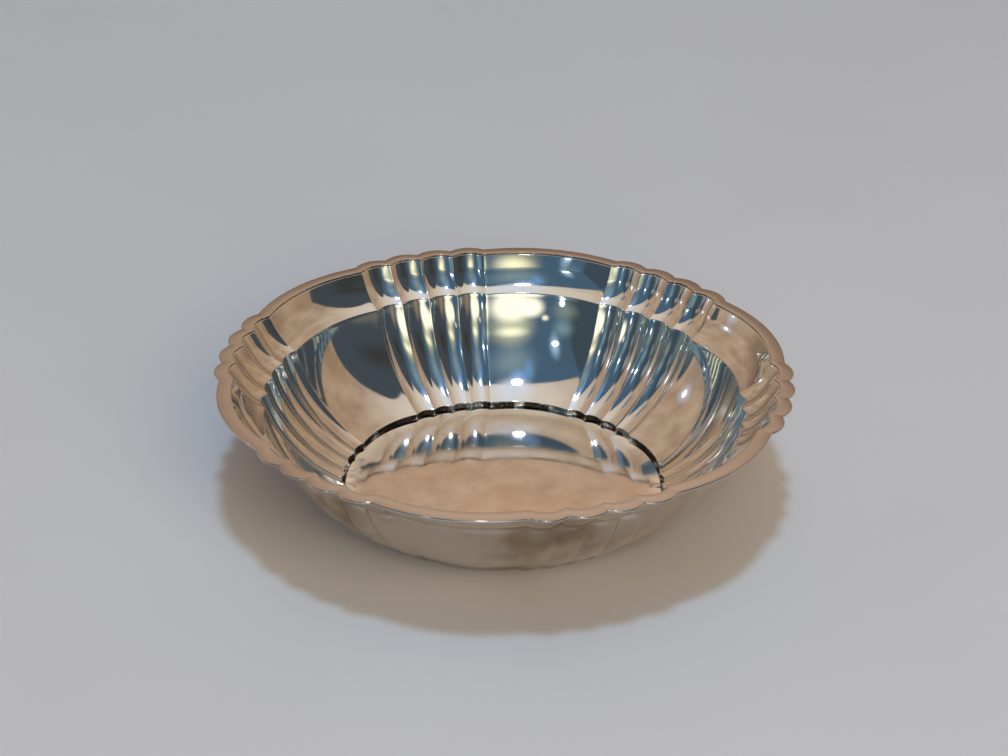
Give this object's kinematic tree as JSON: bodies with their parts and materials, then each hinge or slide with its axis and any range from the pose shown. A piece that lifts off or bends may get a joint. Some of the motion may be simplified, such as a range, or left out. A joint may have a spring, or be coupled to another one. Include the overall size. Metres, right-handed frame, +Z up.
{
  "type": "silver bowl",
  "caption": "Shallow round fluted silver bowl with a flat floor, a flaring scalloped lip and a flat border round the rim.",
  "frame": {"origin": "the middle of the bowl's flat underside", "axes": "+Z up out of the bowl's mouth, which is the bowl's axis; the side that faced the camera is at -Y"},
  "size_m": [0.23, 0.2286, 0.0528],
  "materials": {
    "silver_sheet": "polished silver sheet, slightly warm, with faint wiping scratches",
    "silver_border": "polished silver border with a bright rounded edge"
  },
  "bodies": {
    "root": {"bowl_body": "silver_sheet", "rim_border": "silver_border"}
  },
  "joints": []
}
